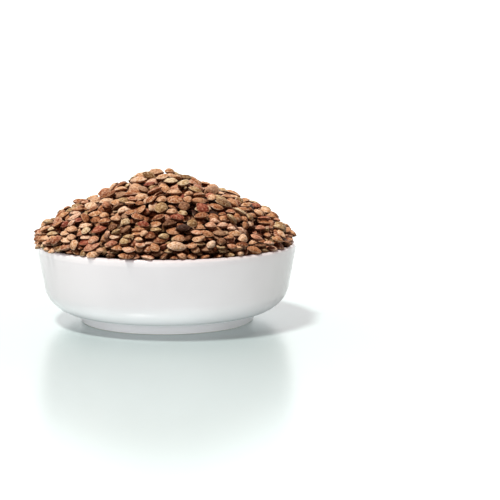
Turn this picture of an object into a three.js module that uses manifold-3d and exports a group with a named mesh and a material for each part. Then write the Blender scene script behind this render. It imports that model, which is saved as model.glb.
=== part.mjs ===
// A round white porcelain bowl heaped with whole horse gram, in millimetres, +Z up.
// The origin is the centre of the foot ring's resting face, and the front of the heap faces -Y.
// The bowl is one turned solid. The heap is one solid: a core that fills the bowl and domes
// above its rim, with the seeds that show fused on where they came to rest.

import * as THREE from "three";
import { mergeVertices } from "three/addons/utils/BufferGeometryUtils.js";
import Module from "manifold-3d";

const degrees = THREE.MathUtils.degToRad;

// ---------------------------------------------------------------- driving dimensions

// The bowl, outside.
const RIM_RADIUS = 60;
const BOWL_HEIGHT = 36.5;
const RIM_BAND = 3; // the upright stretch below the lip
const WALL_LEAN = degrees(10.9); // from upright, inwards going down
const SHOULDER_RADIUS = 13; // between the wall and the base
const BASE_SLOPE = degrees(12);
const WALL = 3; // thickness of wall and base
const FOOT_TOP_RADIUS = 41;
const FOOT_RADIUS = 40;
const FOOT_HEIGHT = 4.2;
const FOOT_WIDTH = 3.6;
const FOOT_RECESS = 2; // depth of the hollow inside the foot ring
const FLOOR_RISE = 3.4; // of the inner floor above the recess
const BOWL_SEGMENTS = 48;
const ARC_ERROR = 0.12; // of a rounded corner's facets from the true arc

// The heap.
const HEAP_RISE = 33.2; // peak above the rim
const HEAP_RADIUS = 61.6; // where the finished heap would meet the level of the rim
const HEAP_LOPSIDE = 1.6; // further out on the left (-X), and as much less on the right
const PEAK_SHARPNESS = 1.15; // 1 is a cone's point, 2 a round top
const EDGE_STEEPNESS = 0.65; // below 1, steepest at the rim
// Swells and hollows of the heap: x, y, rise and spread.
const SWELLS = [
  [-50, 0, 1.2, 6],
  [-33, 0, -1.8, 5],
  [-14, 0, 2.2, 5],
  [17, 1, -1.8, 5],
  [30, 0, -2.8, 6],
  [45, 0, 1.6, 6],
  [12, -24, 1.6, 9],
  [-20, -28, 1.0, 9],
  [-12, 32, 1.0, 9],
];
const GAP = 0.35; // between the heap and the bowl
const CORE_DEPTH = 2.2; // of the core below the finished heap
const CORE_SECTORS = 32;
const CORE_RINGS = 7;

// One seed: a lens with a blunt edge, longer than broad.
const SEED_LENGTH = 6;
const SEED_BREADTH = 5.1;
const SEED_THICKNESS = 2.7;
const SEED_SPREAD = 0.13; // sizes vary by this share, either way

// How the seeds are laid on the heap.
const DRAW = 20517; // starts the random draws
const MOST_SEEDS = 900;
const TRIES = 60; // places tried for each seed
const SPACING = 6; // between the middles of two seeds side by side, at least
const STACKING = 1.7; // times closer that they come one above another
const SEED_ROOT = 0.85; // of a seed sunk into the core
const TUMBLE = 0.5; // how far a seed tips from the slope under it
const OVERHANG = 0.6; // past the rim's outer edge
const SIDE = 7; // width of the heap's steep side by the rim
const MOST_LIFT = 3; // of a seed that would touch the lip
const SEED_SIDES = 6;

// ---------------------------------------------------------------- the bowl

// A polyline whose corners are rounded: each point is [radius, height, corner radius].
function roundedProfile(corners) {
  const points = [];
  corners.forEach(([x, z, round], i) => {
    const corner = new THREE.Vector2(x, z);
    if (!round) {
      points.push(corner);
      return;
    }
    const before = new THREE.Vector2(...corners[i - 1]).sub(corner).normalize();
    const after = new THREE.Vector2(...corners[i + 1]).sub(corner).normalize();
    const half = Math.acos(before.dot(after)) / 2;
    const middle = before.clone().add(after).normalize();
    const centre = corner.clone().addScaledVector(middle, round / Math.sin(half));
    const start = corner.clone().addScaledVector(before, round / Math.tan(half)).sub(centre);
    const turn = Math.sign(before.cross(after)) * (Math.PI - 2 * half);
    const facet = 2 * Math.acos(1 - Math.min(0.5, ARC_ERROR / round));
    const steps = Math.ceil(Math.abs(turn) / facet);
    const origin = new THREE.Vector2();
    for (let k = 0; k <= steps; k++) {
      points.push(start.clone().rotateAround(origin, (-turn * k) / steps).add(centre));
    }
  });
  return points;
}

// Where the wall's line, moved inwards by inset, meets the base's line.
function shoulderCorner(inset) {
  const wallX = RIM_RADIUS - inset / Math.cos(WALL_LEAN);
  const wallZ = BOWL_HEIGHT - RIM_BAND;
  const baseZ = FOOT_HEIGHT + inset / Math.cos(BASE_SLOPE);
  const wallRun = Math.tan(WALL_LEAN);
  const baseRise = Math.tan(BASE_SLOPE);
  const z =
    (baseZ + baseRise * (wallX - wallZ * wallRun - FOOT_TOP_RADIUS)) / (1 - baseRise * wallRun);
  return [wallX - (wallZ - z) * wallRun, z];
}

// The inside of the bowl from its axis up to the rim, moved inwards by inset from the outside.
function insideCorners(inset) {
  const [x, z] = shoulderCorner(inset);
  const floor = FOOT_RECESS + FLOOR_RISE + (inset - WALL);
  const floorEdge = x - (z - floor) / Math.tan(BASE_SLOPE);
  const bandX = RIM_RADIUS - inset / Math.cos(WALL_LEAN);
  return [
    [0, floor, 0],
    [floorEdge, floor, 6],
    [x, z, SHOULDER_RADIUS - inset],
    [bandX, BOWL_HEIGHT - RIM_BAND, 0],
  ];
}

function bowlProfile() {
  const lip = WALL / 2 - 0.02; // just under half the wall, so that the two arcs don't meet
  const footInside = FOOT_RADIUS - FOOT_WIDTH;
  return roundedProfile([
    [0, FOOT_RECESS, 0],
    [footInside - 0.5, FOOT_RECESS, 1],
    [footInside, 0, 0.5],
    [FOOT_RADIUS, 0, 0.8],
    [FOOT_TOP_RADIUS, FOOT_HEIGHT, 1.2],
    [...shoulderCorner(0), SHOULDER_RADIUS],
    [RIM_RADIUS, BOWL_HEIGHT - RIM_BAND, 4],
    [RIM_RADIUS, BOWL_HEIGHT, lip],
    [RIM_RADIUS - WALL, BOWL_HEIGHT, lip],
    ...insideCorners(WALL).reverse(),
  ]);
}

function turned(points, segments) {
  return new THREE.LatheGeometry(points, segments).rotateX(Math.PI / 2);
}

// ---------------------------------------------------------------- the heap's outline

// The height of the finished heap over a point of the plan.
function heapTop(x, y) {
  const radius = HEAP_RADIUS - (HEAP_LOPSIDE * x) / HEAP_RADIUS;
  const share = Math.min(1, Math.hypot(x, y) / radius);
  const dome = HEAP_RISE * (1 - share ** PEAK_SHARPNESS) ** EDGE_STEEPNESS;
  const swell = SWELLS.reduce(
    (sum, [cx, cy, rise, spread]) =>
      sum + rise * Math.exp(-((x - cx) ** 2 + (y - cy) ** 2) / (2 * spread ** 2)),
    0,
  );
  return BOWL_HEIGHT + dome + swell * Math.min(1, dome / 6);
}

// The slope of the finished heap, as its upward normal.
function heapNormal(x, y) {
  const step = 2;
  const dx = (heapTop(x + step, y) - heapTop(x - step, y)) / (2 * step);
  const dy = (heapTop(x, y + step) - heapTop(x, y - step)) / (2 * step);
  return new THREE.Vector3(-dx, -dy, 1).normalize();
}

// The height of the core's surface, which lies under the heap's by a depth across the slope.
function coreTop(x, y) {
  return heapTop(x, y) - CORE_DEPTH / heapNormal(x, y).z;
}

// The height of the lip's top over a radius, a gap above the porcelain, or nothing past the rim.
function lipTop(radius) {
  const across = radius - (RIM_RADIUS - WALL / 2);
  const bar = WALL / 2 + GAP;
  if (Math.abs(across) >= bar) return -Infinity;
  return BOWL_HEIGHT - WALL / 2 + Math.sqrt(bar ** 2 - across ** 2);
}

// ---------------------------------------------------------------- laying the seeds

// A repeatable stream of numbers from 0 to 1.
function drawsFrom(seed) {
  let state = seed >>> 0;
  return () => {
    state = (state + 0x6d2b79f5) >>> 0;
    let t = state;
    t = Math.imul(t ^ (t >>> 15), t | 1);
    t ^= t + Math.imul(t ^ (t >>> 7), t | 61);
    return ((t ^ (t >>> 14)) >>> 0) / 4294967296;
  };
}

// A random turn for a seed that lies between level and along the slope, tipped a little.
function randomTurn(normal, draw) {
  const up = new THREE.Vector3(0, 0, 1);
  const lie = up.clone().lerp(normal, draw());
  lie.x += TUMBLE * (draw() + draw() - 1);
  lie.y += TUMBLE * (draw() + draw() - 1);
  const spin = new THREE.Quaternion().setFromAxisAngle(up, 2 * Math.PI * draw());
  return new THREE.Quaternion().setFromUnitVectors(up, lie.normalize()).multiply(spin);
}

// A body of revolution about Z, one unit in radius, set in a seed's place and stretched to its size.
function seedForm(seed, sides, bands) {
  const place = new THREE.Matrix4().compose(seed.middle, seed.turn, seed.half);
  return new THREE.SphereGeometry(1, sides, bands).rotateX(Math.PI / 2).applyMatrix4(place);
}

// How far a seed has to rise to lie clear of the lip.
function liftOverLip(seed) {
  const probe = seedForm(seed, 24, 12).getAttribute("position");
  let lift = 0;
  for (let i = 0; i < probe.count; i++) {
    const top = lipTop(Math.hypot(probe.getX(i), probe.getY(i)));
    lift = Math.max(lift, top - probe.getZ(i));
  }
  return lift;
}

// Seeds lie more level than upright, so they come closer one above another than side by side.
function spacing(p, q) {
  return Math.hypot(p.x - q.x, p.y - q.y, STACKING * (p.z - q.z));
}

// Seeds over the whole heap, the largest first, each where it keeps its distance from the others.
function laySeeds() {
  const draw = drawsFrom(DRAW);
  const most = RIM_RADIUS + OVERHANG - SEED_LENGTH / 2;
  const sizes = Array.from({ length: MOST_SEEDS }, () => 1 + SEED_SPREAD * (2 * draw() - 1));
  const seeds = [];
  for (const size of sizes.sort((a, b) => b - a)) {
    for (let attempt = 0; attempt < TRIES; attempt++) {
      const r = most * Math.sqrt(draw());
      const angle = 2 * Math.PI * draw();
      const [x, y] = [r * Math.cos(angle), r * Math.sin(angle)];
      const normal = heapNormal(x, y);
      const half = new THREE.Vector3(SEED_LENGTH, SEED_BREADTH, SEED_THICKNESS).multiplyScalar(size / 2);
      const turn = randomTurn(normal, draw);
      // How far the seed reaches along the slope's normal, seen from its middle.
      const reach = normal.clone().applyQuaternion(turn.clone().invert()).multiply(half).length();
      const middle = new THREE.Vector3(x, y, heapTop(x, y));
      middle.addScaledVector(normal, reach - SEED_ROOT - CORE_DEPTH);
      // On the steep side by the rim, a seed lies at any height down to the lip.
      if (r > most - SIDE) middle.z = THREE.MathUtils.lerp(middle.z, BOWL_HEIGHT, draw());
      if (seeds.some((other) => spacing(other.middle, middle) < SPACING)) continue;
      const seed = { middle, half, turn };
      const lift = liftOverLip(seed);
      if (lift > MOST_LIFT) continue;
      middle.z += lift;
      seeds.push(seed);
      break;
    }
  }
  return seeds;
}

// ---------------------------------------------------------------- solids

const wasm = await Module();
wasm.setup();

function toSolid(geometry) {
  const bare = new THREE.BufferGeometry()
    .setAttribute("position", geometry.getAttribute("position"))
    .setIndex(geometry.index);
  const merged = mergeVertices(bare, 1e-4);
  const triVerts = [];
  for (let i = 0; i < merged.index.count; i += 3) {
    const [p, q, r] = [0, 1, 2].map((k) => merged.index.getX(i + k));
    if (p !== q && q !== r && r !== p) triVerts.push(p, q, r);
  }
  return new wasm.Manifold(
    new wasm.Mesh({
      numProp: 3,
      vertProperties: merged.attributes.position.array,
      triVerts: new Uint32Array(triVerts),
    }),
  );
}

function toGeometry(solid) {
  const { numProp, numVert, vertProperties, triVerts } = solid.getMesh();
  const position = new Float32Array(numVert * 3);
  for (let i = 0; i < numVert; i++) {
    position.set(vertProperties.subarray(i * numProp, i * numProp + 3), i * 3);
  }
  const geometry = new THREE.BufferGeometry()
    .setAttribute("position", new THREE.BufferAttribute(position, 3))
    .setIndex(new THREE.BufferAttribute(triVerts, 1));
  geometry.computeVertexNormals();
  return geometry;
}

// The core: a turned body inside the bowl whose upper rings are lifted to the heap's own heights.
function coreGeometry() {
  const wall = roundedProfile(insideCorners(WALL + GAP));
  const edge = RIM_RADIUS - (WALL + GAP) / Math.cos(WALL_LEAN);
  const rings = Array.from({ length: CORE_RINGS }, (_, i) => {
    const share = 1 - i / CORE_RINGS;
    return new THREE.Vector2((edge - 0.6) * share, BOWL_HEIGHT + 1);
  });
  rings.push(new THREE.Vector2(0, BOWL_HEIGHT + 1));
  const geometry = turned([...wall, ...rings], CORE_SECTORS);
  const position = geometry.getAttribute("position");
  for (let i = 0; i < position.count; i++) {
    if (position.getZ(i) <= BOWL_HEIGHT) continue;
    position.setZ(i, coreTop(position.getX(i), position.getY(i)));
  }
  return geometry;
}

// The room that the porcelain needs, a gap larger than the bowl's rim and outside.
function bowlRoom() {
  const bar = WALL / 2 + GAP;
  const outside = RIM_RADIUS + 12;
  const low = BOWL_HEIGHT - 8;
  return toSolid(
    turned(
      roundedProfile([
        [RIM_RADIUS - WALL - GAP, low, 0],
        [outside, low, 0],
        [outside, BOWL_HEIGHT - 4, 0],
        [RIM_RADIUS + GAP, BOWL_HEIGHT - 4, 0],
        [RIM_RADIUS + GAP, BOWL_HEIGHT + GAP, bar - 0.02],
        [RIM_RADIUS - WALL - GAP, BOWL_HEIGHT + GAP, bar - 0.02],
        [RIM_RADIUS - WALL - GAP, low, 0],
      ]),
      BOWL_SEGMENTS,
    ),
  );
}

function largest(solid) {
  return solid.decompose().reduce((a, b) => (b.volume() > a.volume() ? b : a));
}

// The core and the seeds as one body, without the scraps that the porcelain's room cuts off.
function heapSolid() {
  const seeds = laySeeds().map((seed) => toSolid(seedForm(seed, SEED_SIDES, 2)));
  return largest(wasm.Manifold.union([toSolid(coreGeometry()), ...seeds]).subtract(bowlRoom()));
}

// ---------------------------------------------------------------- the object

function part(name, geometry, color, roughness) {
  const mesh = new THREE.Mesh(
    geometry,
    new THREE.MeshStandardMaterial({ color, roughness, metalness: 0 }),
  );
  mesh.name = name;
  return mesh;
}

const bowlOfHorseGram = new THREE.Group();
bowlOfHorseGram.name = "bowl_of_horse_gram";
bowlOfHorseGram.add(
  part("bowl", turned(bowlProfile(), BOWL_SEGMENTS), "#f1f2f1", 0.12),
  part("horse_gram", toGeometry(heapSolid()), "#a1795e", 0.55),
);

export default bowlOfHorseGram;
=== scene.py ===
"""A round white porcelain bowl heaped with whole horse gram, in metres, with +Z up."""

import math

import bmesh
import bpy
import numpy as np
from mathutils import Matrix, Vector, noise


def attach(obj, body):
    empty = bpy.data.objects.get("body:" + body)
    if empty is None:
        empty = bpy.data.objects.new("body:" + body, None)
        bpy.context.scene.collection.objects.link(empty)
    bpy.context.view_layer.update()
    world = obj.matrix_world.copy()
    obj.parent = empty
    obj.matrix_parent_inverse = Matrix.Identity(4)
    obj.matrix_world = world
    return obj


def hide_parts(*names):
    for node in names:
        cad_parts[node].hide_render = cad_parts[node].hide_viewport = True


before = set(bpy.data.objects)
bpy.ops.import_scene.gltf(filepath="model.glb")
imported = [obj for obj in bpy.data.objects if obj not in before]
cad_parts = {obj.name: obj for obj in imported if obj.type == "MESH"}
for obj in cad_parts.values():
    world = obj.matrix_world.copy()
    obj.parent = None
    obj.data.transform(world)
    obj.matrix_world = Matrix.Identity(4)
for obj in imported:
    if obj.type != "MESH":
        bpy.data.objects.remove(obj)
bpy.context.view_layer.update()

MM = 0.001

# ---------------------------------------------------------------- the camera

RIM_HEIGHT = 36.5 * MM
VIEW_DISTANCE = 0.8  # from the middle of the rim
VIEW_ELEVATION = math.radians(8.0)
SENSOR_WIDTH = 36  # the camera's own millimetres
IMAGE_SIZE = 500  # pixels, both ways
RIM_MIDDLE = (167, 240.5)  # pixels from the image's left and top
PIXELS_PER_METRE = 129 / 0.06  # at the rim, whose radius of 60 mm is 129 pixels wide


def add_camera():
    """Looks along +Y, a little down, with the object left of the image's centre."""
    data = bpy.data.cameras.new("camera")
    data.sensor_width = SENSOR_WIDTH
    data.lens = data.sensor_width * PIXELS_PER_METRE * VIEW_DISTANCE / IMAGE_SIZE
    data.clip_start = 0.01
    camera = bpy.data.objects.new("camera", data)
    bpy.context.scene.collection.objects.link(camera)
    rise, run = math.sin(VIEW_ELEVATION), math.cos(VIEW_ELEVATION)
    rim = Vector((0, 0, RIM_HEIGHT))
    camera.location = rim + VIEW_DISTANCE * Vector((0, -run, rise))
    right, down = ((IMAGE_SIZE / 2 - place) / PIXELS_PER_METRE for place in RIM_MIDDLE)
    aim = rim + Vector((right, 0, 0)) - down * Vector((0, rise, run))
    camera.rotation_euler = (aim - camera.location).to_track_quat("-Z", "Y").to_euler()
    bpy.context.scene.camera = camera


add_camera()

# ---------------------------------------------------------------- making materials


def colour(code):
    """An sRGB hex colour as linear RGBA."""
    channels = [int(code[i : i + 2], 16) / 255 for i in (1, 3, 5)]
    linear = [c / 12.92 if c <= 0.04045 else ((c + 0.055) / 1.055) ** 2.4 for c in channels]
    return (*linear, 1.0)


def node(tree, kind, inputs=None, stops=None, **settings):
    """Adds a node. Inputs are numbers, colours, or the sockets to link from; stops are a ramp's."""
    made = tree.nodes.new(kind)
    for name, value in settings.items():
        setattr(made, name, value)
    for key, value in (inputs or {}).items():
        if isinstance(value, bpy.types.NodeSocket):
            tree.links.new(value, made.inputs[key])
        else:
            made.inputs[key].default_value = value
    if stops:
        elements = made.color_ramp.elements
        while len(elements) < len(stops):
            elements.new(0.5)
        for element, (place, tint) in zip(elements, stops):
            element.position = place
            element.color = tint
    return made


def new_material(name):
    """A material and the tree and shader inside it."""
    material = bpy.data.materials.new(name)
    material.use_nodes = True
    tree = material.node_tree
    return material, tree, tree.nodes["Principled BSDF"]


def scale_of(millimetres):
    """The scale at which a noise's features are this large."""
    return 1 / (millimetres * MM)


# ---------------------------------------------------------------- finishes


CLOUD_SIZE = 30  # mm, of the faint clouds in the porcelain's white
RIPPLE_SIZE = 6  # mm, of the ripple in the glaze
RIPPLE_HEIGHT = 0.03 * MM
BARE_HEIGHT = 0.1 * MM  # up the foot, below which it is bare
GLAZED_HEIGHT = 0.35 * MM  # and above which it is glazed
BARE_ROUGHNESS = 0.7
GLAZED_ROUGHNESS = 0.1
GLAZE_IOR = 1.52


def glazed_porcelain():
    """Porcelain dipped in clear glaze and fired: cool white, glossy, a faint ripple in the glaze.
    The foot ring's resting face is wiped bare, so it is matt and a little warmer."""
    material, tree, shader = new_material("glazed_porcelain")
    place = node(tree, "ShaderNodeTexCoord").outputs["Object"]
    clouds = node(
        tree, "ShaderNodeTexNoise", {"Vector": place, "Scale": scale_of(CLOUD_SIZE), "Detail": 2}
    )
    body = node(
        tree,
        "ShaderNodeValToRGB",
        {"Fac": clouds.outputs["Fac"]},
        stops=[(0.3, colour("#f3f0f1")), (0.7, colour("#f9f6f7"))],
    )
    height = node(tree, "ShaderNodeSeparateXYZ", {"Vector": place}).outputs["Z"]
    bare = node(
        tree,
        "ShaderNodeMapRange",
        {
            "Value": height,
            "From Min": BARE_HEIGHT,
            "From Max": GLAZED_HEIGHT,
            "To Min": 1,
            "To Max": 0,
        },
    ).outputs["Result"]
    skin = node(
        tree,
        "ShaderNodeMix",
        {0: bare, 6: body.outputs["Color"], 7: colour("#e3ddd0")},
        data_type="RGBA",
    )
    gloss = node(
        tree,
        "ShaderNodeMapRange",
        {"Value": bare, "To Min": GLAZED_ROUGHNESS, "To Max": BARE_ROUGHNESS},
    )
    ripple = node(
        tree, "ShaderNodeTexNoise", {"Vector": place, "Scale": scale_of(RIPPLE_SIZE), "Detail": 1}
    )
    relief = node(
        tree,
        "ShaderNodeBump",
        {"Height": ripple.outputs["Fac"], "Strength": 0.15, "Distance": RIPPLE_HEIGHT},
    )
    tree.links.new(skin.outputs[2], shader.inputs["Base Color"])
    tree.links.new(gloss.outputs["Result"], shader.inputs["Roughness"])
    tree.links.new(relief.outputs["Normal"], shader.inputs["Normal"])
    shader.inputs["IOR"].default_value = GLAZE_IOR
    return material


# Sizes in millimetres of the patterns on a coat. The real ones are finer, but wouldn't show.
MOTTLE_SIZE = 1.5
FLECK_SIZE = 0.9
WRINKLE_SIZE = 1.1
MOTTLE_STRENGTH = 1.8  # how far the mottling takes a coat from its own tone
WRINKLE_DEPTH = 0.45 * MM
EYE_PLACE = (0.97, 0, 0)  # on the seed's unit shape, at one end of its rim
EYE_TINT = "#c9b79a"
COAT_IOR = 1.45
COAT_GLOSS = 0.08  # low, as dust dulls the wax
PAINTED_SHADE_REACH = 4 * MM  # how near other seeds must be for a coat to get painted shade
PAINTED_GAP_SHADE_TINT = "#a8603c"  # painted shade: the red-brown multiplied into a coat where other seeds crowd it


def seed_coat(name, dark, middle, light):
    """A dry seed coat: thin, hard and waxy, so it is half matt with soft highlights. Each seed
    has its own tone, mottled, flecked and finely wrinkled, with a rubbed rim and a pale eye, and
    where other seeds crowd it the coat gets painted shade, darker and redder."""
    material, tree, shader = new_material(name)
    place = node(tree, "ShaderNodeTexCoord").outputs["Object"]
    own = node(tree, "ShaderNodeAttribute", attribute_name="on_seed").outputs["Vector"]
    tone = node(tree, "ShaderNodeAttribute", attribute_name="tone").outputs["Fac"]
    mottle = node(
        tree,
        "ShaderNodeTexNoise",
        {"Vector": place, "Scale": scale_of(MOTTLE_SIZE), "Detail": 4, "Roughness": 0.8},
    ).outputs["Fac"]
    patches = node(
        tree, "ShaderNodeMath", {0: mottle, 1: 0.5}, operation="SUBTRACT"
    ).outputs["Value"]
    shade = node(
        tree,
        "ShaderNodeMath",
        {0: patches, 1: MOTTLE_STRENGTH, 2: tone},
        operation="MULTIPLY_ADD",
    ).outputs["Value"]
    coat = node(
        tree,
        "ShaderNodeValToRGB",
        {"Fac": shade},
        stops=[(0.05, colour(dark)), (0.5, colour(middle)), (0.95, colour(light))],
    ).outputs["Color"]
    grains = node(
        tree, "ShaderNodeTexNoise", {"Vector": place, "Scale": scale_of(FLECK_SIZE), "Detail": 2}
    ).outputs["Fac"]
    fleck = node(
        tree,
        "ShaderNodeMapRange",
        {"Value": grains, "From Min": 0.53, "From Max": 0.62, "To Min": 0, "To Max": 0.5},
    ).outputs["Result"]
    spotted = node(
        tree, "ShaderNodeMix", {0: fleck, 6: coat, 7: colour(dark)}, data_type="RGBA"
    ).outputs[2]
    bloom = node(
        tree,
        "ShaderNodeMapRange",
        {"Value": grains, "From Min": 0.36, "From Max": 0.46, "To Min": 0.5, "To Max": 0},
    ).outputs["Result"]
    flecked = node(
        tree, "ShaderNodeMix", {0: bloom, 6: spotted, 7: colour(light)}, data_type="RGBA"
    ).outputs[2]
    across = node(tree, "ShaderNodeSeparateXYZ", {"Vector": own}).outputs["Z"]
    from_rim = node(tree, "ShaderNodeMath", {0: across}, operation="ABSOLUTE").outputs["Value"]
    rim = node(
        tree,
        "ShaderNodeMapRange",
        {"Value": from_rim, "From Min": 0.04, "From Max": 0.2, "To Min": 0.4, "To Max": 0},
    ).outputs["Result"]
    edged = node(
        tree, "ShaderNodeMix", {0: rim, 6: flecked, 7: colour(light)}, data_type="RGBA"
    ).outputs[2]
    from_eye = node(
        tree, "ShaderNodeVectorMath", {0: own, 1: EYE_PLACE}, operation="DISTANCE"
    ).outputs["Value"]
    eye = node(
        tree,
        "ShaderNodeMapRange",
        {"Value": from_eye, "From Min": 0.1, "From Max": 0.2, "To Min": 0.6, "To Max": 0},
    ).outputs["Result"]
    skin = node(
        tree, "ShaderNodeMix", {0: eye, 6: edged, 7: colour(EYE_TINT)}, data_type="RGBA"
    ).outputs[2]
    # Painted shade: near other seeds the coat's colour is multiplied darker and redder.
    openness = node(
        tree, "ShaderNodeAmbientOcclusion", {"Distance": PAINTED_SHADE_REACH}, samples=6
    ).outputs["AO"]
    painted_shade_share = node(
        tree,
        "ShaderNodeMapRange",
        {"Value": openness, "From Min": 0.2, "From Max": 0.8, "To Min": 0.75, "To Max": 0},
    ).outputs["Result"]
    with_painted_gap_shade = node(
        tree,
        "ShaderNodeMix",
        {0: painted_shade_share, 6: skin, 7: colour(PAINTED_GAP_SHADE_TINT)},
        data_type="RGBA",
        blend_type="MULTIPLY",
    ).outputs[2]
    wrinkles = node(
        tree,
        "ShaderNodeTexNoise",
        {"Vector": place, "Scale": scale_of(WRINKLE_SIZE), "Detail": 3, "Distortion": 0.6},
    ).outputs["Fac"]
    relief = node(
        tree,
        "ShaderNodeBump",
        {"Height": wrinkles, "Strength": 1, "Distance": WRINKLE_DEPTH},
    )
    gloss = node(
        tree,
        "ShaderNodeMapRange",
        {"Value": mottle, "From Min": 0.3, "From Max": 0.7, "To Min": 0.38, "To Max": 0.55},
    )
    tree.links.new(with_painted_gap_shade, shader.inputs["Base Color"])
    tree.links.new(gloss.outputs["Result"], shader.inputs["Roughness"])
    tree.links.new(relief.outputs["Normal"], shader.inputs["Normal"])
    shader.inputs["IOR"].default_value = COAT_IOR
    shader.inputs["Specular IOR Level"].default_value = COAT_GLOSS
    return material


LUMP_SIZE = 5  # mm, about a seed
LUMP_HEIGHT = 1.5 * MM


def seed_bed_finish():
    """What the gaps between the seeds show: more seeds in deep shade, as dark brown lumps."""
    material, tree, shader = new_material("shaded_seeds")
    place = node(tree, "ShaderNodeTexCoord").outputs["Object"]
    lumps = node(tree, "ShaderNodeTexVoronoi", {"Vector": place, "Scale": scale_of(LUMP_SIZE)})
    tint = node(
        tree,
        "ShaderNodeValToRGB",
        {"Fac": lumps.outputs["Distance"]},
        stops=[(0.1, colour("#6b2a12")), (0.6, colour("#2e0c04"))],
    )
    relief = node(
        tree,
        "ShaderNodeBump",
        {"Height": lumps.outputs["Distance"], "Strength": 0.8, "Distance": LUMP_HEIGHT},
        invert=True,
    )
    tree.links.new(tint.outputs["Color"], shader.inputs["Base Color"])
    tree.links.new(relief.outputs["Normal"], shader.inputs["Normal"])
    shader.inputs["Roughness"].default_value = 0.8
    return material


FLOOR_GLOW = 0.11  # as seen, under the object, kept low there as painted shade
FLOOR_GLOW_AWAY = 0.53  # as seen further out
FLOOR_LIGHT = 0.38  # as it lights what stands on it
FLOOR_GLOW_REACH = (0.06, 0.33)  # from the middle, between which the glow grows and the painted shade round the object fades
FLOOR_TINT = "#8d9a9b"
FLOOR_HAZE_SIZE = 200  # mm
ACRYLIC_IOR = 1.49


def studio_floor():
    """White acrylic sheet lit from below: it shows as white, a little blue-green in the shade,
    with a faint soft mirror image of what stands on it. Its glow as seen is weaker near the
    middle, as painted shade round what stands on it."""
    material, tree, shader = new_material("white_acrylic")
    place = node(tree, "ShaderNodeTexCoord").outputs["Object"]
    haze = node(tree, "ShaderNodeTexNoise", {"Vector": place, "Scale": scale_of(FLOOR_HAZE_SIZE)})
    gloss = node(
        tree,
        "ShaderNodeMapRange",
        {"Value": haze.outputs["Fac"], "To Min": 0.2, "To Max": 0.25},
    )
    away = node(tree, "ShaderNodeVectorMath", {0: place}, operation="LENGTH").outputs["Value"]
    # Painted shade: the floor's glow as seen is dimmer near the middle, round what stands on it.
    glow_with_painted_shade = node(
        tree,
        "ShaderNodeMapRange",
        {
            "Value": away,
            "From Min": FLOOR_GLOW_REACH[0],
            "From Max": FLOOR_GLOW_REACH[1],
            "To Min": FLOOR_GLOW,
            "To Max": FLOOR_GLOW_AWAY,
        },
    ).outputs["Result"]
    ray = node(tree, "ShaderNodeLightPath")
    glow = node(
        tree,
        "ShaderNodeMapRange",
        {"Value": ray.outputs["Is Diffuse Ray"], "To Min": glow_with_painted_shade, "To Max": FLOOR_LIGHT},
    )
    tree.links.new(gloss.outputs["Result"], shader.inputs["Roughness"])
    tree.links.new(glow.outputs["Result"], shader.inputs["Emission Strength"])
    shader.inputs["Base Color"].default_value = colour(FLOOR_TINT)
    shader.inputs["Emission Color"].default_value = colour("#f2ffff")
    shader.inputs["IOR"].default_value = ACRYLIC_IOR
    return material


# ---------------------------------------------------------------- the bowl

RIM_RADIUS = 60 * MM
RIM_BAND = 3 * MM  # the upright stretch below the lip
WALL_LEAN = math.radians(10.9)  # from upright, inwards going down
SHOULDER_RADIUS = 13 * MM
BASE_SLOPE = math.radians(12)
WALL = 3 * MM
FOOT_TOP_RADIUS = 41 * MM
FOOT_RADIUS = 40 * MM
FOOT_HEIGHT = 4.2 * MM
FOOT_WIDTH = 3.6 * MM
FOOT_RECESS = 2 * MM
FLOOR_RISE = 3.4 * MM  # of the inner floor above the recess
TURN_STEPS = 160


def shoulder_corner(inset):
    """Where the wall's line, moved inwards by inset, meets the base's line."""
    wall_x = RIM_RADIUS - inset / math.cos(WALL_LEAN)
    wall_z = RIM_HEIGHT - RIM_BAND
    base_z = FOOT_HEIGHT + inset / math.cos(BASE_SLOPE)
    run, rise = math.tan(WALL_LEAN), math.tan(BASE_SLOPE)
    z = (base_z + rise * (wall_x - wall_z * run - FOOT_TOP_RADIUS)) / (1 - rise * run)
    return wall_x - (wall_z - z) * run, z


def inside_corners(inset):
    """The hollow from its axis up to the rim band, moved inwards by inset from the outside."""
    x, z = shoulder_corner(inset)
    floor = FOOT_RECESS + FLOOR_RISE + (inset - WALL)
    edge = x - (z - floor) / math.tan(BASE_SLOPE)
    return [
        (0, floor, 0),
        (edge, floor, 6 * MM),
        (x, z, SHOULDER_RADIUS - inset),
        (RIM_RADIUS - inset / math.cos(WALL_LEAN), RIM_HEIGHT - RIM_BAND, 0),
    ]


def bowl_corners():
    """The bowl's section as corners: radius, height and how far each is rounded."""
    lip = WALL / 2 - 0.02 * MM
    foot_inside = FOOT_RADIUS - FOOT_WIDTH
    return [
        (0, FOOT_RECESS, 0),
        (foot_inside - 0.5 * MM, FOOT_RECESS, 1 * MM),
        (foot_inside, 0, 0.5 * MM),
        (FOOT_RADIUS, 0, 0.8 * MM),
        (FOOT_TOP_RADIUS, FOOT_HEIGHT, 1.2 * MM),
        (*shoulder_corner(0), SHOULDER_RADIUS),
        (RIM_RADIUS, RIM_HEIGHT - RIM_BAND, 4 * MM),
        (RIM_RADIUS, RIM_HEIGHT, lip),
        (RIM_RADIUS - WALL, RIM_HEIGHT, lip),
        *reversed(inside_corners(WALL)),
    ]


def turn_about_z(bm, corners, steps):
    """Spins a chain of corners about Z and closes it at the axis."""
    points = [bm.verts.new((r, 0, z)) for r, z, _ in corners]
    chain = [bm.edges.new(pair) for pair in zip(points, points[1:])]
    bmesh.ops.spin(
        bm,
        geom=points + chain,
        cent=(0, 0, 0),
        axis=(0, 0, 1),
        angle=2 * math.pi,
        steps=steps,
        use_merge=True,
    )
    bmesh.ops.remove_doubles(bm, verts=bm.verts, dist=0.001 * MM)


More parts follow.
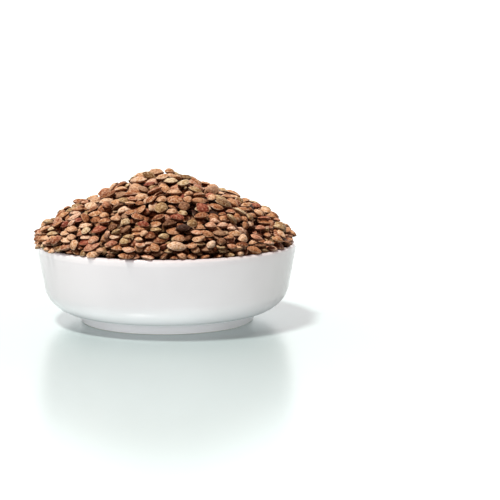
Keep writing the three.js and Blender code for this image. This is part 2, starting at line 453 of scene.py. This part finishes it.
def round_rings(bm, corners):
    """Rounds each ring of edges that the spin left at a corner to that corner's radius."""
    for before, (r, z, radius), after in zip(corners, corners[1:], corners[2:]):
        if not radius:
            continue
        inwards = Vector((r - before[0], z - before[1])).normalized()
        onwards = Vector((after[0] - r, after[1] - z)).normalized()
        turn = inwards.angle(onwards)
        ring = [
            edge
            for edge in bm.edges
            if all(
                abs(math.hypot(v.co.x, v.co.y) - r) < 0.01 * MM and abs(v.co.z - z) < 0.01 * MM
                for v in edge.verts
            )
        ]
        bmesh.ops.bevel(
            bm,
            geom=ring,
            affect="EDGES",
            offset=radius * math.tan(turn / 2),
            segments=max(3, round(turn / math.radians(9))),
            profile=0.5,
            material=-1,
        )


def add_piece(name, mesh, material, replaced):
    """A finished piece: smooth, on the root body, with its finish, and the node it stands for hidden.
    """
    piece = bpy.data.objects.new(name, mesh)
    bpy.context.scene.collection.objects.link(piece)
    mesh.materials.append(material)
    mesh.polygons.foreach_set("use_smooth", [True] * len(mesh.polygons))
    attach(piece, "root")
    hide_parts(replaced)
    return piece


def build_bowl():
    bm = bmesh.new()
    corners = bowl_corners()
    turn_about_z(bm, corners, TURN_STEPS)
    round_rings(bm, corners)
    bmesh.ops.recalc_face_normals(bm, faces=bm.faces)
    mesh = bpy.data.meshes.new("porcelain_bowl")
    bm.to_mesh(mesh)
    bm.free()
    return add_piece("porcelain_bowl", mesh, glazed_porcelain(), "bowl")


bowl = build_bowl()

# ---------------------------------------------------------------- the heap's outline

HEAP_RISE = 33.2 * MM  # peak above the rim
HEAP_RADIUS = 61.6 * MM  # where the finished heap would meet the level of the rim
HEAP_LOPSIDE = 1.6 * MM  # further out on the left (-X), and as much less on the right
PEAK_SHARPNESS = 1.15  # 1 is a cone's point, 2 a round top
EDGE_STEEPNESS = 0.65  # below 1, steepest at the rim
# Swells and hollows of the heap, in millimetres: x, y, rise and spread.
SWELLS = [
    (-50, 0, 1.2, 6),
    (-33, 0, -1.8, 5),
    (-14, 0, 2.2, 5),
    (17, 1, -1.8, 5),
    (30, 0, -2.8, 6),
    (45, 0, 1.6, 6),
    (12, -24, 1.6, 9),
    (-20, -28, 1.0, 9),
    (-12, 32, 1.0, 9),
]
SWELL_FADE = 6 * MM  # height of the dome under which the swells die out
SLOPE_STEP = 2 * MM  # either way, over which the slope is measured
LIP_GAP = 0.15 * MM  # between the seeds and the porcelain


def heap_top(x, y):
    """The height of the finished heap over points of the plan."""
    radius = HEAP_RADIUS - HEAP_LOPSIDE * x / HEAP_RADIUS
    share = np.minimum(1, np.hypot(x, y) / radius)
    dome = HEAP_RISE * (1 - share**PEAK_SHARPNESS) ** EDGE_STEEPNESS
    swell = sum(
        rise * MM * np.exp(-((x - cx * MM) ** 2 + (y - cy * MM) ** 2) / (2 * (spread * MM) ** 2))
        for cx, cy, rise, spread in SWELLS
    )
    return RIM_HEIGHT + dome + swell * np.minimum(1, dome / SWELL_FADE)


def heap_normal(x, y):
    """The finished heap's slope, as upward unit normals in rows."""
    step = SLOPE_STEP
    dx = (heap_top(x + step, y) - heap_top(x - step, y)) / (2 * step)
    dy = (heap_top(x, y + step) - heap_top(x, y - step)) / (2 * step)
    normal = np.stack([-dx, -dy, np.ones_like(dx)], -1)
    return normal / np.linalg.norm(normal, axis=-1, keepdims=True)


# ---------------------------------------------------------------- the seed bed

BED_DEPTH = 8.5 * MM  # below the finished heap
BED_EDGE_DEPTH = 2.5 * MM  # below the lip, round the edge
BED_RINGS = 24
BED_STEPS = 96
BED_INSET = 0.5 * MM  # of its edge from the hollow's wall
BED_WALL_GAP = 0.3 * MM  # between the bed and the porcelain


def heap_bed(x, y):
    """The finished heap's surface sunk by the bed's depth, and drawn in as much at its edge."""
    stretch = HEAP_RADIUS / (HEAP_RADIUS - BED_DEPTH)
    sunk = heap_top(x * stretch, y * stretch) - BED_DEPTH
    return np.maximum(sunk, RIM_HEIGHT - BED_EDGE_DEPTH)


def build_seed_bed():
    """The body of the heap under the seeds that show: it fills the hollow and domes above it."""
    bm = bmesh.new()
    gap = WALL + BED_WALL_GAP
    hollow = inside_corners(gap)
    edge = RIM_RADIUS - gap / math.cos(WALL_LEAN) - BED_INSET
    dome = [(edge * (1 - i / BED_RINGS), RIM_HEIGHT, 0) for i in range(BED_RINGS + 1)]
    turn_about_z(bm, hollow + dome, BED_STEPS)
    for v in bm.verts:
        if v.co.z > RIM_HEIGHT - 0.01 * MM:
            v.co.z = heap_bed(v.co.x, v.co.y)
    round_rings(bm, hollow)
    bmesh.ops.recalc_face_normals(bm, faces=bm.faces)
    mesh = bpy.data.meshes.new("seed_bed")
    bm.to_mesh(mesh)
    bm.free()
    return add_piece("seed_bed", mesh, seed_bed_finish(), "horse_gram")


build_seed_bed()

# ---------------------------------------------------------------- dropping the seeds

SEED_LENGTH = 6 * MM
SEED_BREADTH = 5.1 * MM
SEED_THICKNESS = 2.8 * MM
SIZE_SPREAD = 0.15
SIZE_LIMITS = (0.66, 1.3)
SIZE_AT_PEAK = 1.34  # the larger seeds lie on top, the smaller ones have run down to the rim
SIZE_AT_RIM = 1.06
NESTING = 0.86  # lenses lie closer than the ellipsoids that stand for them in the drop
DRAW = 20517  # starts the random draws
CELL = 0.4 * MM  # of the grid of heights
BED_GAP = 0.6 * MM  # that the seeds keep from the bed
GRID_REACH = 68 * MM  # from the middle to the grid's edge
WINDOW = 15  # cells from a seed's middle that it may cover
TRIES = 14  # resting places tried for each seed
WANDER = 1.4 * MM  # how far a seed rolls from where it fell
TUMBLE = 0.18  # how far a seed tips from the slope under it, on average
MOST_LEAN = 0.48  # sine of the steepest slope that they follow
PROUD = 0.2 * MM  # of a seed's middle above the finished heap, at most
SNUGNESS = 0.7  # how much the hollow under a seed counts against its height
MOST_HOLLOW = 2 * MM  # under a seed, on average
SETTLING = 0.3  # share of that hollow by which it then settles
FAR_BELOW = -1  # the height where a seed covers nothing
PAST_LIP = 2.5 * MM  # how far below the rim the ground is taken to be past the lip
PATIENCE = 900  # misses in a row that end the dropping
SEED_REACH = 57.6 * MM  # of a seed's middle from the axis
LEFT_REACH = 3.2 * MM  # more on the left (-X), where the seeds hang over the rim
RIM_ROW_STEP = 4.4 * MM
RIM_ROW_INSET = 0.6 * MM  # of the rim's row from the furthest place
PLACES = 12  # random places, of which a seed falls on the one furthest from filled
# How the length, breadth and thickness of a seed vary by themselves.
UNEVENNESS = [(0.96, 1.08), (0.78, 1.06), (0.85, 1.15)]


def furthest(angle):
    """How far from the axis a seed's middle may lie in a direction."""
    return SEED_REACH + LEFT_REACH * np.maximum(0, -np.cos(angle)) ** 2


def starting_heights(at):
    """The ground that the seeds fall on: the bed inside the bowl, then the lip, and past it a
    level that is too low to rest on."""
    x, y = np.meshgrid(at, at)
    radius = np.hypot(x, y)
    bar = WALL / 2 + LIP_GAP
    across = np.clip((radius - (RIM_RADIUS - WALL / 2)) / bar, -1, 1)
    lip = RIM_HEIGHT - WALL / 2 + bar * np.sqrt(1 - across**2)
    lip[np.abs(across) >= 1] = RIM_HEIGHT - PAST_LIP
    bed = heap_bed(x, y) + BED_GAP
    return np.where(radius < RIM_RADIUS - WALL - LIP_GAP, bed, lip)


def random_axes(normal, tumble, draws):
    """Turns for seeds that lie between level and along the slope, tipped a little, as unit axes."""
    count = len(normal)
    up = np.array([0, 0, 1.0])
    steepness = np.linalg.norm(normal[:, :2], axis=1, keepdims=True)
    lie = up + (normal - up) * draws.random((count, 1)) * np.minimum(1, MOST_LEAN / steepness)
    lie[:, :2] += tumble * draws.normal(0, 1, (count, 2))
    lie /= np.linalg.norm(lie, axis=1, keepdims=True)
    spin = 2 * math.pi * draws.random(count)
    along = np.stack([np.cos(spin), np.sin(spin), np.zeros(count)], 1)
    along -= (along * lie).sum(1, keepdims=True) * lie
    along /= np.linalg.norm(along, axis=1, keepdims=True)
    return np.stack([along, np.cross(lie, along), lie], 1)


def rest_seed(ground, at, x, y, half, tumble, draws):
    """Of a few places and tilts near (x, y), the one where a seed lies low and snug: whether it
    may stay there, its middle and axes, and the cells that it covers with its top over them."""
    px = x + WANDER * (2 * draws.random(TRIES) - 1)
    py = y + WANDER * (2 * draws.random(TRIES) - 1)
    axes = random_axes(heap_normal(px, py), tumble, draws)
    form = np.einsum("tki,tkj,k->tij", axes, axes, 1 / half**2)
    offsets = np.arange(-WINDOW, WINDOW + 1)
    i = np.rint((px + GRID_REACH) / CELL).astype(int)[:, None] + offsets
    j = np.rint((py + GRID_REACH) / CELL).astype(int)[:, None] + offsets
    dx = (at[i] - px[:, None])[:, None, :]
    dy = (at[j] - py[:, None])[:, :, None]
    xx, yy, zz, xy, xz, yz = (
        form[:, a, b, None, None] for a, b in ((0, 0), (1, 1), (2, 2), (0, 1), (0, 2), (1, 2))
    )
    lean = xz * dx + yz * dy
    root = lean**2 - zz * (xx * dx**2 + 2 * xy * dx * dy + yy * dy**2 - 1)
    covered = root > 0
    spread = np.sqrt(np.maximum(root, 0))
    heights = ground[j[:, :, None], i[:, None, :]]
    needed = np.where(covered, heights + (lean + spread) / zz, FAR_BELOW)
    z = needed.max((1, 2))
    proud = z - heap_top(px, py)
    hollow = np.where(covered, z[:, None, None] - needed, 0).sum((1, 2)) / covered.sum((1, 2))
    best = int(np.argmin(proud + SNUGNESS * hollow))
    height = z[best] - SETTLING * hollow[best]
    upper = height + (spread[best] - lean[best]) / zz[best]
    top = np.where(covered[best], upper, FAR_BELOW)
    window = np.ix_(j[best], i[best])
    middle = np.array([px[best], py[best], height])
    fits = height > RIM_HEIGHT and proud[best] <= PROUD and hollow[best] <= MOST_HOLLOW
    return fits, middle, axes[best], window, top


def draw_seed(x, y, draws):
    """The half sizes of a seed for a place on the heap, and how far it tips."""
    inwards = 1 - min(1, math.hypot(x, y) / RIM_RADIUS)
    grade = SIZE_AT_RIM + (SIZE_AT_PEAK - SIZE_AT_RIM) * inwards
    size = grade * np.clip(np.exp(SIZE_SPREAD * draws.normal()), *SIZE_LIMITS)
    half = size / 2 * np.array([SEED_LENGTH, SEED_BREADTH, SEED_THICKNESS])
    half *= [draws.uniform(*limits) for limits in UNEVENNESS]
    return half, TUMBLE * draws.exponential()


def drop_seeds():
    """Drops a row of seeds along the rim, then seeds one by one on the heap, until none more
    would lie with its middle under the finished heap."""
    draws = np.random.default_rng(DRAW)
    at = np.arange(-GRID_REACH, GRID_REACH + CELL / 2, CELL)
    ground = starting_heights(at)
    seeds = []

    def drop(x, y):
        half, tumble = draw_seed(x, y, draws)
        kept_off = half * [1, 1, NESTING]
        fits, middle, axes, window, top = rest_seed(ground, at, x, y, kept_off, tumble, draws)
        if fits:
            ground[window] = np.maximum(ground[window], top)
            seeds.append((middle, axes, half))
        return fits

    for angle in np.arange(0, 2 * math.pi, RIM_ROW_STEP / RIM_RADIUS):
        r = furthest(angle) - RIM_ROW_INSET
        drop(r * math.cos(angle), r * math.sin(angle))
    misses = 0
    while misses < PATIENCE:
        angle = 2 * math.pi * draws.random(PLACES)
        r = furthest(angle) * np.sqrt(draws.random(PLACES))
        x, y = r * np.cos(angle), r * np.sin(angle)
        i, j = (np.rint((v + GRID_REACH) / CELL).astype(int) for v in (x, y))
        pick = int(np.argmax(heap_top(x, y) - ground[j, i]))
        misses = 0 if drop(x[pick], y[pick]) else misses + 1
    return seeds


# ---------------------------------------------------------------- the seeds' shape

SHAPES = 14
# How shapes differ: how much narrower one end is, how pointed both are, how plump the upper side
# is for the lower, how deep its dent is, and how the whole is bent sideways and curled upwards.
TRAITS = [(0, 0.2), (0, 0.34), (0.7, 1.1), (0, 0.2), (-0.16, 0.16), (-0.25, 0.25)]
WOBBLE = 0.1  # of the radius
WOBBLE_SCALE = 1.3
WOBBLE_SHIFT = 7.3  # through the noise from shape to shape
DENT_NARROWNESS = 6
SHAPE_SEGMENTS = 12
SHAPE_RINGS = 6
EDGE_SHARPNESS = 0.8  # 0.5 is an ellipsoid's round edge, 1 a knife edge
RIM_ANGLE = math.radians(55)  # faces that meet at more than this show an edge
TONES = (0.18, 0.82)  # how dark or light a seed is of its kind


def seed_shape(number):
    """A lens one unit in radius: more or less pointed at its ends, bent and unevenly plump."""
    draws = np.random.default_rng(number)
    taper, point, plump, dent, bend, curl = draws.uniform(*np.transpose(TRAITS))
    bm = bmesh.new()
    bmesh.ops.create_uvsphere(bm, u_segments=SHAPE_SEGMENTS, v_segments=SHAPE_RINGS, radius=1)
    noise.seed_set(DRAW + number)  # or the noise would start from the clock
    for v in bm.verts:
        x, y, z = v.co
        radius = min(1.0, math.hypot(x, y))
        side = plump if z > 0 else 1
        height = side * (1 - radius**2) ** EDGE_SHARPNESS
        v.co.z = math.copysign(height, z) if radius < 0.999 else 0
        v.co.y = y * (1 - taper * x) * (1.001 - x * x) ** point + bend * (x * x - 0.5)
        if z > 0:
            v.co.z -= dent * math.exp(-DENT_NARROWNESS * radius**2)
        place = v.co * WOBBLE_SCALE + Vector((WOBBLE_SHIFT * number, 0, 0))
        v.co += noise.noise_vector(place) * WOBBLE
        v.co.z += curl * (x * x - 0.3)
    bmesh.ops.recalc_face_normals(bm, faces=bm.faces)
    bm.verts.index_update()
    points = np.array([v.co for v in bm.verts])
    faces = [[v.index for v in face.verts] for face in bm.faces]
    bm.free()
    return points, faces


def join_seeds(name, seeds, shapes, numbers, draws):
    """One mesh of all the seeds of a kind, each point knowing its place on its seed and its tone."""
    points, locals_, tones, corners, sizes = [], [], [], [], []
    start = 0
    for seed, number in zip(seeds, numbers):
        middle, axes, half = seed
        shape, faces = shapes[number]
        points.append((shape * half) @ axes + middle)
        locals_.append(shape)
        tones.append(np.full(len(shape), draws.uniform(*TONES)))
        corners.extend(index + start for face in faces for index in face)
        sizes.extend(len(face) for face in faces)
        start += len(shape)
    mesh = bpy.data.meshes.new(name)
    mesh.vertices.add(start)
    mesh.vertices.foreach_set("co", np.concatenate(points).ravel())
    mesh.loops.add(len(corners))
    mesh.loops.foreach_set("vertex_index", corners)
    mesh.polygons.add(len(sizes))
    mesh.polygons.foreach_set("loop_start", np.concatenate([[0], np.cumsum(sizes)[:-1]]))
    mesh.attributes.new("on_seed", "FLOAT_VECTOR", "POINT").data.foreach_set(
        "vector", np.concatenate(locals_).ravel()
    )
    mesh.attributes.new("tone", "FLOAT", "POINT").data.foreach_set("value", np.concatenate(tones))
    mesh.update(calc_edges=True)
    mesh.validate()
    return mesh


# Kinds of seed coat: name, share of the seeds, and the dark, middle and light of its tones.
KINDS = [
    ("tan", 0.26, "#7d4221", "#c1976d", "#dfccb6"),
    ("fawn", 0.15, "#753e25", "#bb8b6b", "#dcc7b2"),
    ("brown", 0.23, "#5d2c16", "#a5744e", "#ceb194"),
    ("olive", 0.18, "#664226", "#ac9066", "#d4c6aa"),
    ("russet", 0.07, "#551d11", "#97553f", "#c59d82"),
    ("umber", 0.08, "#412413", "#7e583e", "#ac8e73"),
    ("dark", 0.03, "#271610", "#4c3429", "#765f50"),
]


def build_seeds():
    seeds = drop_seeds()
    draws = np.random.default_rng(DRAW + 1)
    shapes = [seed_shape(number) for number in range(SHAPES)]
    kinds = draws.choice(len(KINDS), len(seeds), p=[kind[1] for kind in KINDS])
    numbers = draws.integers(0, SHAPES, len(seeds))
    for k, (name, _, dark, middle, light) in enumerate(KINDS):
        chosen = np.flatnonzero(kinds == k)
        mesh = join_seeds(
            f"seeds_{name}", [seeds[i] for i in chosen], shapes, numbers[chosen], draws
        )
        finish = seed_coat(f"{name}_seed_coat", dark, middle, light)
        add_piece(f"seeds_{name}", mesh, finish, "horse_gram")
        mesh.set_sharp_from_angle(angle=RIM_ANGLE)


build_seeds()

# ---------------------------------------------------------------- the studio

SURROUND = 1.7  # as the camera and the gloss see it
AMBIENT = 0.13
AMBIENT_TINT = "#ff7034"
KEY_STRENGTH = 5.0
KEY_ON_BOWL = 2.3  # through a net, so that the white glaze isn't too bright
KEY_BREADTH = math.radians(11)
KEY_FROM = (-0.27, -0.15, 0.95)
FILL_POWER = 5.5
FILL_PLACE = (-0.28, -0.97, 0.15)
FILL_SIZE = 0.8
FLOOR_REACH = 6  # from the middle to its edges
CONTRAST = 0.9  # below 1, darker in the shade


def build_floor(lit):
    """The floor. Its own light reaches only the pieces in lit, which leaves the seeds out."""
    bm = bmesh.new()
    bmesh.ops.create_grid(bm, x_segments=1, y_segments=1, size=FLOOR_REACH)
    mesh = bpy.data.meshes.new("floor")
    bm.to_mesh(mesh)
    bm.free()
    mesh.materials.append(studio_floor())
    floor = bpy.data.objects.new("floor", mesh)
    bpy.context.scene.collection.objects.link(floor)
    floor.light_linking.receiver_collection = lit


def build_surround():
    """A bright white surround, which the glaze and the floor mirror. What it lends the object as
    soft light is little, and warm as if the seeds about had coloured it."""
    world = bpy.data.worlds.new("studio")
    world.use_nodes = True
    tree = world.node_tree
    ray = node(tree, "ShaderNodeLightPath")
    soft = ray.outputs["Is Diffuse Ray"]
    tint = node(
        tree,
        "ShaderNodeMix",
        {0: soft, 6: colour("#ffffff"), 7: colour(AMBIENT_TINT)},
        data_type="RGBA",
    )
    glow = node(
        tree, "ShaderNodeMapRange", {"Value": soft, "To Min": SURROUND, "To Max": AMBIENT}
    )
    background = tree.nodes["Background"]
    tree.links.new(tint.outputs[2], background.inputs["Color"])
    tree.links.new(glow.outputs["Result"], background.inputs["Strength"])
    bpy.context.scene.world = world


def add_key(name, strength, lit):
    """A broad, far light from above, a little on the left, on the pieces in lit."""
    data = bpy.data.lights.new(name, "SUN")
    data.energy = strength
    data.angle = KEY_BREADTH
    data.color = colour("#fffaf4")[:3]
    key = bpy.data.objects.new(name, data)
    key.rotation_euler = Vector(KEY_FROM).to_track_quat("Z", "Y").to_euler()
    bpy.context.scene.collection.objects.link(key)
    key.light_linking.receiver_collection = lit


def add_fill(lit):
    """A soft box low in front, on the left, shaded off the seeds so that it lights only the bowl."""
    data = bpy.data.lights.new("fill", "AREA")
    data.size = FILL_SIZE
    data.energy = FILL_POWER
    data.color = colour("#f5f6fb")[:3]
    fill = bpy.data.objects.new("fill", data)
    fill.location = FILL_PLACE
    towards_bowl = Vector((0, 0, RIM_HEIGHT / 2)) - fill.location
    fill.rotation_euler = towards_bowl.to_track_quat("-Z", "Y").to_euler()
    bpy.context.scene.collection.objects.link(fill)
    fill.visible_glossy = False  # the glaze shows no lamp
    fill.light_linking.receiver_collection = lit


only_bowl = bpy.data.collections.new("only_bowl")
only_bowl.objects.link(bowl)
build_floor(only_bowl)
build_surround()
all_but_bowl = bpy.data.collections.new("all_but_bowl")
all_but_bowl.objects.link(bowl)
# A light linked to this collection reaches everything but what is in it.
all_but_bowl.collection_objects[0].light_linking.link_state = "EXCLUDE"
add_key("key", KEY_STRENGTH, all_but_bowl)
add_key("key_on_bowl", KEY_ON_BOWL, only_bowl)
add_fill(only_bowl)
bpy.context.scene.view_settings.view_transform = "Standard"
bpy.context.scene.view_settings.gamma = CONTRAST
